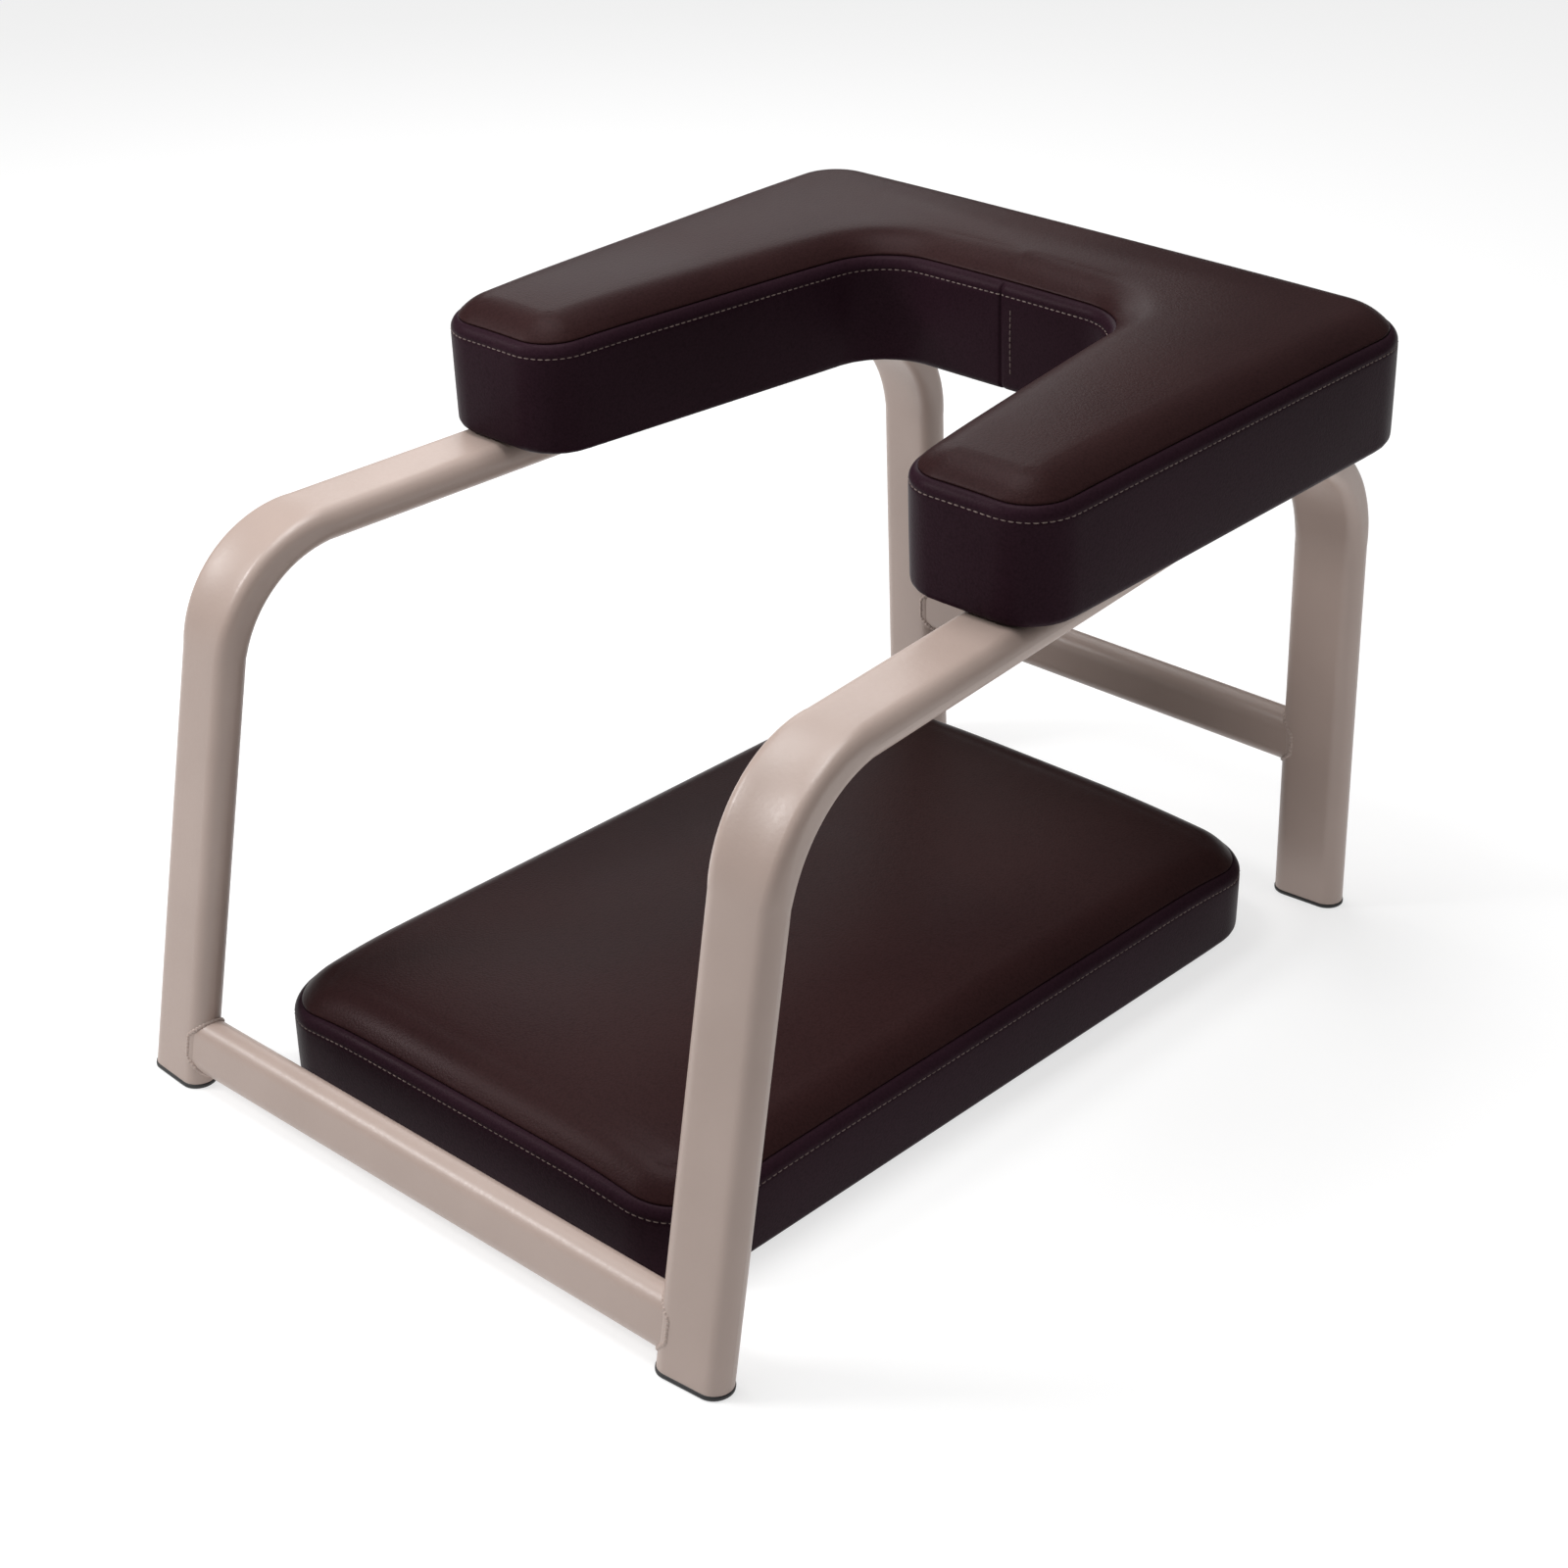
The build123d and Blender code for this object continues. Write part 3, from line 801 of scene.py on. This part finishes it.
SEAM_INSET = 0.0055               # the sewn edge lies this far inside the wall
ROLL_RISE = 0.0080                # and this far above the topstitch
TOPSTITCH = 0.0080                # below the seam, where the roll begins
SHOULDER_WIDTH = 0.0190           # the top panel's rounded shoulder
EDGE_RADIUS = 0.0055              # where the band turns under the board
TUCK = 0.0005                     # how far the band is pulled in at the board
SLACK = 0.0006                    # the band's middle line lies this far inside the outline
LEATHER = 0.0011                  # thickness of the leather cloth
PANEL_EVENINGS = 8
LIP_ROWS = 3
ROLL_DROPS = [
    0.0008, 0.0017, 0.0028, 0.0040, 0.0053, 0.0065, 0.0075, TOPSTITCH, 0.0086, 0.0095, 0.0117, 0.0150,
]
STITCH_ROW = LIP_ROWS + ROLL_DROPS.index(TOPSTITCH)
STITCH_PITCH = 0.0041
STITCH_LENGTH = 0.0031
THREAD_RADIUS = 0.00042
FOAM_GAP = 0.0028                 # from the panel down to the foam
BOARD_THICK = 0.012               # of the cushion


class Stuffed:
    """A pad's outline with its heights, its stuffing's bulge and the place of its under face. dip is
    how far the seam sinks at the corners."""

    def __init__(self, pad, seam, top, shoulder, dip, bulge, place):
        self.pad = pad
        self.seam = seam - dip * pad.corner
        self.shoulder = shoulder
        self.place = place
        wall, rings, inside = blown_up(pad, seam, 0.6 * (top - seam))
        crown = top - seam - shoulder
        self.rise = rings * crown / inside.max()
        self.inside_rise = inside * crown / inside.max()
        self.wall = blurred(wall, 3) * bulge / wall.max()

    def top_rise(self, across):
        """Height of the stuffing's crown a share of the way across the shoulder, between the blown-up
        rings."""
        at = np.concatenate([[0.0], SIM_CROWN / SIM_CROWN[-1]])
        k = int(np.clip(np.searchsorted(at, across) - 1, 0, len(at) - 2))
        share = (across - at[k]) / (at[k + 1] - at[k])
        return self.rise[k] * (1 - share) + self.rise[k + 1] * share

    def wall_inset(self, height):
        """How far inside the outline the band lies at a height: tucked in at the board, bulged by the
        stuffing, and above the topstitch rolled in to the seam along an ellipse, from upright to 60
        degrees round it."""
        share = np.clip(height / self.seam, 0.0, 1.0)
        level = share * (SIM_WALLS - 1)
        k = np.clip(level.astype(int), 0, SIM_WALLS - 2)
        columns = np.arange(self.pad.count)
        out = self.wall[k, columns] * (1 - (level - k)) + self.wall[k + 1, columns] * (level - k)
        climb = np.clip((height - self.seam + ROLL_RISE) / ROLL_RISE, 0.0, 1.0) * math.sin(math.radians(60))
        roll = 2 * SEAM_INSET * (1 - np.sqrt(1 - climb ** 2))
        return TUCK * (1 - share) ** 2.2 + SLACK - out + roll

    def placed(self, points):
        """Points of the pad's own frame, tilted and lifted into the row's frame."""
        return points @ np.array(self.place.to_3x3()).T + np.array(self.place.translation)


def top_panel(stuffed, deeper=0.0):
    """Lip, shoulder and crown: a short lip turned down into the seam, then a sine rise over the
    shoulder, then the stuffing's bulge. deeper moves the whole panel down and inwards, for the foam
    under it."""
    share = np.array([0.0, 0.035, 0.08, 0.14, 0.21, 0.29, 0.38, 0.48, 0.60, 0.74, 0.88, 1.0])
    insets = [SEAM_INSET + step for step in (0.0014, 0.0009, 0.0003)]
    rises = [-0.0022, -0.0016, -0.0008]
    insets += list(SEAM_INSET + SHOULDER_WIDTH * share)
    rises += list(stuffed.shoulder * np.sin(share * math.pi / 2) ** 0.92)
    crown = [stuffed.top_rise((i - SEAM_INSET) / SHOULDER_WIDTH) * (r > 0) for i, r in zip(insets, rises)]
    heights = [stuffed.seam + r + c - deeper for r, c in zip(rises, crown)]
    edge = stuffed.pad.fill(np.column_stack([heights[-1], heights[-1]]))[..., 0]
    rim = stuffed.pad.fill(np.column_stack([stuffed.top_rise(1.0)] * 2))[..., 0]
    inside = edge - rim + stuffed.inside_rise
    return [i + deeper for i in insets], heights, inside


def creases(stuffed, height):
    """Small gathers where the band is pulled under the board at a corner: a sine along the edge that
    fades in 9 mm of height."""
    pad = stuffed.pad
    step = np.linalg.norm(np.roll(pad.points, -1, axis=0) - pad.points, axis=1)
    along = np.cumsum(step)
    wave = np.sin(along * 2 * math.pi / 0.0085 + 1.3 * np.sin(along * 31))
    return 0.00045 * wave * pad.corner * np.exp(-height / 0.009)


def side_band(stuffed, join):
    """Lip, wall, turned edge and hem, from the seam down. join is one value per column, 1 on the
    band's own upright seam and fading beside it, which sinks the wall there. A shallow groove follows
    the topstitch."""
    at_seam = stuffed.wall_inset(stuffed.seam)
    insets = [at_seam + step for step in (0.0022, 0.0013, 0.0004)]
    heights = [stuffed.seam - drop for drop in (0.0030, 0.0021, 0.0011)]
    for drop in ROLL_DROPS:
        height = stuffed.seam - drop
        groove = 0.0005 * math.exp(-((drop - TOPSTITCH) / 0.0006) ** 2)
        insets.append(stuffed.wall_inset(height) + groove + 0.0009 * math.exp(-((drop / 0.0009) ** 2)))
        heights.append(height)
    for share in np.linspace(0.96, 0.0, 14):
        height = EDGE_RADIUS + (stuffed.seam - ROLL_DROPS[-1] - EDGE_RADIUS) * share
        insets.append(stuffed.wall_inset(height))
        heights.append(height)
    edge = insets[-1]
    for angle in np.linspace(0, math.pi / 2, 7)[1:]:
        insets.append(edge + EDGE_RADIUS * (1 - math.cos(angle)))
        heights.append(np.full(stuffed.pad.count, EDGE_RADIUS * (1 - math.sin(angle)) + SLACK))
    for inset in (0.011, 0.015, 0.019, 0.023):
        insets.append(np.full(stuffed.pad.count, inset))
        heights.append(np.full(stuffed.pad.count, 0.0007))
    wall = slice(0, len(insets) - 4)
    insets[wall] = [i + 0.0012 * join + creases(stuffed, h) for i, h in zip(insets[wall], heights[wall])]
    return insets, heights


def leather_cloth(name, dark, light, sheen):
    """Dark brown coated cloth: pebbled cells of about a millimetre, finer pores, painted shade in the
    creases between the cells, and a sheen that varies over a hand's width."""
    material, made, links, shader = new_material(name)
    place = made.new("ShaderNodeTexCoord")
    marks = mottle(made, 7.0, 1500.0)
    cells = made.new("ShaderNodeTexVoronoi")
    cells.feature = "SMOOTH_F1"
    set_inputs(cells, {"Scale": 720.0, "Smoothness": 0.6})
    links.new(place.outputs["Object"], cells.inputs["Vector"])
    brown = two_tone(made, links, marks.outputs["Broad"], dark, light)
    # Painted shade: the colour darkens towards the cells' edges, where the bump sinks into creases.
    crease_shade = two_tone(made, links, cells.outputs["Distance"], (1.0, 1.0, 1.0), (0.55, 0.52, 0.52), 0.3, 0.9)
    links.new(darkened(made, links, brown, crease_shade, 0.55), shader.inputs["Base Color"])
    links.new(span(made, links, marks.outputs["Broad"], 0.34, 0.44), shader.inputs["Roughness"])
    pores = bump(made, links, marks.outputs["Fine"], 0.00003)
    dome = span(made, links, cells.outputs["Distance"], 1.0, 0.0, 0.0, 1.0)
    links.new(bump(made, links, dome, 0.00009, 0.8, pores), shader.inputs["Normal"])
    set_inputs(shader, {"Specular IOR Level": sheen, "Specular Tint": (1.0, 0.78, 0.80, 1.0)})
    return material


def foam_block():
    """Pale yellow open foam, deeper in its fine pores and darker there, which is painted shade."""
    low, high = (0.52, 0.44, 0.24), (0.80, 0.73, 0.52)
    return mottled_material("cut foam", (25.0, 900.0), low, high, 0.95, 0.95, 0.0004, tint_by="Fine")[0]


def fibre_cloth():
    """Black non-woven cloth: pressed dimples every 2 mm over matted fibres, darker where they sink, which is
    painted shade.
    """
    low, high = (0.010, 0.010, 0.011), (0.032, 0.032, 0.034)
    material, made, links, shader, fibres = mottled_material(
        "black non-woven cloth", (60.0, 1300.0), low, high, 0.9, 0.9, 0.00006, tint_by="Fine"
    )
    place = made.new("ShaderNodeTexCoord")
    dots = made.new("ShaderNodeTexVoronoi")
    set_inputs(dots, {"Scale": 480.0, "Randomness": 0.15})
    links.new(place.outputs["Object"], dots.inputs["Vector"])
    links.new(bump(made, links, dots.outputs["Distance"], 0.0001, 1.0, fibres), shader.inputs["Normal"])
    return material


def sewing_thread():
    """Grey-brown sewing thread: slow changes of shade along the seam and a fine fuzz."""
    low, high = (0.110, 0.075, 0.068), (0.170, 0.122, 0.108)
    return mottled_material("grey brown thread", (90.0, 2400.0), low, high, 0.6, 0.6, 0.0001)[0]


def stitches(lines, length, radius):
    """One small rounded rod per entry of lines, which are rows of place, direction along and
    direction out. Its rings' radius is the root of one less the fourth power of their distance from
    its middle, and both ends are capped."""
    shares = np.array([-1.0, -0.86, -0.5, 0.0, 0.5, 0.86, 1.0])
    size = radius * np.maximum(np.sqrt(np.maximum(1 - shares ** 4, 0.0)), 0.08)
    around = np.linspace(0, 2 * math.pi, 6, endpoint=False)
    place, along, out = (lines[:, None, None, k] for k in range(3))
    aside = np.cross(along, out)
    lift = (0.25 * radius * (1 - shares ** 2))[None, :, None, None]
    run = (shares * length / 2)[None, :, None, None] * along
    turn = np.cos(around)[None, None, :, None] * out + np.sin(around)[None, None, :, None] * aside
    reach = size[None, :, None, None] * turn
    points = place + run + reach + lift * out
    ring_ids = np.arange(len(shares) * 6).reshape(len(shares), 6)
    one = grid_faces(ring_ids, closed_columns=True)
    caps = np.array([[0, 1, 2, 3], [3, 4, 5, 0]])
    one = np.concatenate([one, caps[:, ::-1], caps + ring_ids[-1, 0]])
    one = facing_out(points[0].reshape(-1, 3) - np.asarray(place[0, 0, 0]), one)
    steps = np.arange(len(lines))[:, None, None] * ring_ids.size
    return points.reshape(-1, 3), (one[None] + steps).reshape(-1, 4)


def stitch_line(path, outward, pitch, closed):
    """Evenly spaced stitches on a line, each with its place, direction and the outward direction."""
    ring = np.vstack([path, path[:1]]) if closed else path
    out = np.vstack([outward, outward[:1]]) if closed else outward
    length = lengths(ring)
    count = round(length[-1] / pitch)
    at = (np.arange(count) + 0.5) / count * length[-1]
    ahead = read_along(ring, length, np.minimum(at + 0.0003, length[-1]))
    along = ahead - read_along(ring, length, np.maximum(at - 0.0003, 0.0))
    along /= np.linalg.norm(along, axis=1)[:, None]
    normal = read_along(out, length, at)
    normal -= np.einsum("ij,ij->i", normal, along)[:, None] * along
    normal /= np.linalg.norm(normal, axis=1)[:, None]
    return np.stack([read_along(ring, length, at), along, normal], axis=1)


PANEL_LEATHER = leather_cloth(
    "dark brown leather cloth", (0.0225, 0.0088, 0.0092), (0.0285, 0.0116, 0.0116), 0.055
)
# The band is the panel's leather cloth again, made darker, more purple and less glossy: painted shade on the
# walls, which face away from the overhead lights.
SHADED_BAND_LEATHER = leather_cloth(
    "duller brown leather cloth, painted shade", (0.0190, 0.0080, 0.0125), (0.0245, 0.0105, 0.0165), 0.030
)
FOAM_BLOCK = foam_block()
FIBRE_CLOTH = fibre_cloth()
THREAD = sewing_thread()


def upholster(name, body, stuffed, join_side):
    """Top panel, side band, topstitching and foam of one pad. join_side is +1 where the band's own
    seam is on a back wall, -1 where it is in a throat facing forwards."""
    pad = stuffed.pad
    insets, heights, inside = top_panel(stuffed)
    points, faces = pad.shell(insets, heights, top=inside)
    points[:, 2] = evened(points[:, 2], points, faces, 9 * pad.count, PANEL_EVENINGS)
    placed = stuffed.placed(points)
    panel = piece_from(f"{name}_panel", placed, faces, body, PANEL_LEATHER)
    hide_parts(f"{name}_top_panel")

    facing = pad.normals[:, 1] * join_side > 0.99
    middle = (pad_low.x + pad_high.x) / 2 * (join_side > 0)
    across = np.where(facing, pad.points[:, 0] - middle, 1.0)
    join = np.exp(-(across / 0.0010) ** 2)
    insets, heights = side_band(stuffed, join)
    points, faces = pad.shell(insets, heights)
    placed = stuffed.placed(points)
    # The band takes the copy of the leather cloth with painted shade.
    band = piece_from(f"{name}_band", placed, faces[:, ::-1], body, SHADED_BAND_LEATHER)
    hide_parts(f"{name}_boxing")

    for cover in (panel, band):
        thick = cover.modifiers.new("thickness", "SOLIDIFY")
        thick.thickness = LEATHER
        thick.offset = -1.0
        smooth = cover.modifiers.new("smooth", "SUBSURF")
        smooth.levels = 1
        smooth.render_levels = 1

    row = STITCH_ROW
    table = placed.reshape(-1, pad.count, 3)
    outward = np.column_stack([pad.normals, np.zeros(pad.count)]) @ np.array(stuffed.place.to_3x3()).T
    lines = [stitch_line(table[row], outward, STITCH_PITCH, True)]
    beside = int(np.argmin(np.abs(across - 0.0075)))
    upright = table[row + 4:row + 17, beside]
    facing_way = np.repeat(outward[beside][None], len(upright), axis=0)
    lines.append(stitch_line(upright, facing_way, STITCH_PITCH, False))
    points, faces = stitches(np.concatenate(lines), STITCH_LENGTH, THREAD_RADIUS)
    piece_from(f"{name}_topstitch", points, faces, body, THREAD)

    insets, heights, inside = top_panel(stuffed, FOAM_GAP)
    board_low, board_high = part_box(f"{name}_board")
    base = 0.0021 + (board_high.z - board_low.z if join_side > 0 else BOARD_THICK)
    walls = [base + (stuffed.seam - 0.009 - base) * share for share in (0.0, 0.02, 0.5, 0.98, 1.0)]
    insets = [stuffed.wall_inset(h) + 0.0022 for h in walls] + insets[4:]
    heights = walls + heights[4:]
    points, faces = pad.shell(insets, heights, top=inside, bottom=base)
    foam = piece_from(f"{name}_foam_block", stuffed.placed(points), faces, body, FOAM_BLOCK)
    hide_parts(f"{name}_foam")


seat_low, seat_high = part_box("cushion_under_cloth")
SEAT_RISE = (seat_low.z + seat_high.z) / 2 - 0.0004
SEAT_MIDDLE = (seat_low.y + seat_high.y) / 2
seat_base = Matrix.Translation((0.0, 0.0, SEAT_RISE - SEAT_MIDDLE * math.tan(SEAT_TILT)))
seat_place = seat_base @ Matrix.Rotation(SEAT_TILT, 4, "X")

stuffed_cushion = Stuffed(
    cushion, seam=0.0675, top=0.0805, shoulder=0.0100, dip=0.0010, bulge=0.0015, place=seat_place
)
upholster("cushion", "frame", stuffed_cushion, -1)

stuffed_slab = Stuffed(
    slab, seam=0.0520, top=0.0680, shoulder=0.0115, dip=0.0060, bulge=0.0020, place=Matrix.Identity(4)
)
upholster("kneeling_pad", "kneeling_pad", stuffed_slab, 1)


# Under-cloths ----------------------------------------------------------------------------
# Thin black non-woven cloth closes the underside of each board over the turned-in covers. Its
# edge is folded under.


def under_cloth(name, body, stuffed):
    """Flat panel with a folded edge: rings from the fold inwards, then the filled middle, facing
    down."""
    pad = stuffed.pad
    insets = [0.0146, 0.0141, 0.0144, 0.0155, 0.0175, 0.0205, 0.0240]
    heights = [0.00055, 0.0004, 0.00015, 0.00005, 0.0001, 0.00005, 0.0001]
    points, faces = pad.shell(insets, heights, top=0.0001)
    points = stuffed.placed(points)
    made = piece_from(f"{name}_dust_cloth", points, faces[:, ::-1], body, FIBRE_CLOTH)
    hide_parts(f"{name}_under_cloth")
    thick = made.modifiers.new("thickness", "SOLIDIFY")
    thick.thickness = 0.0004
    thick.offset = -1.0


under_cloth("cushion", "frame", stuffed_cushion)
under_cloth("kneeling_pad", "kneeling_pad", stuffed_slab)
